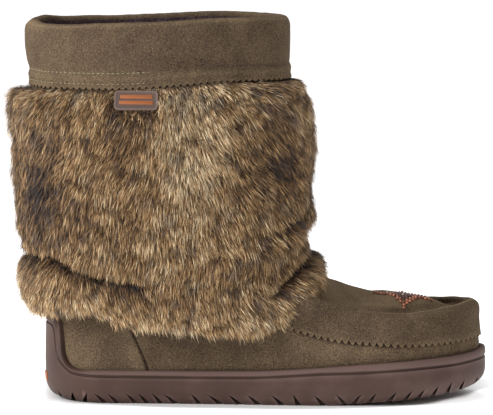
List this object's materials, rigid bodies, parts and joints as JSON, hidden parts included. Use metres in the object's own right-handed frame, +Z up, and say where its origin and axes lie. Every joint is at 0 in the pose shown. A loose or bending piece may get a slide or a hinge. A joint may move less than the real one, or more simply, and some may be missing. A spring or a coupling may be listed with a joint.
{
  "type": "winter boot",
  "caption": "Mid-calf winter boot: rubber cupsole, moccasin-toe suede foot, long-fur shaft and a stitched suede cuff.",
  "frame": {"origin": "centre of the boot's bounding box at floor level, under the sole", "axes": "+X towards the toe, +Y towards the inner side of the foot, +Z up"},
  "size_m": [0.3116, 0.129, 0.2492],
  "materials": {
    "sole_rubber": "matt moulded rubber",
    "suede": "napped suede, olive brown",
    "insole_felt": "felt",
    "rabbit_fur": "long soft fur, mottled brown and beige",
    "label_rubber": "satin moulded rubber",
    "thread": "pale waxed thread",
    "beads": "small glossy glass beads"
  },
  "bodies": {
    "root": {"outsole": "sole_rubber", "insole": "insole_felt", "upper": "suede", "toe_band": "suede", "fur_shaft": "rabbit_fur", "cuff": "suede", "label_tab": "label_rubber"}
  },
  "joints": []
}
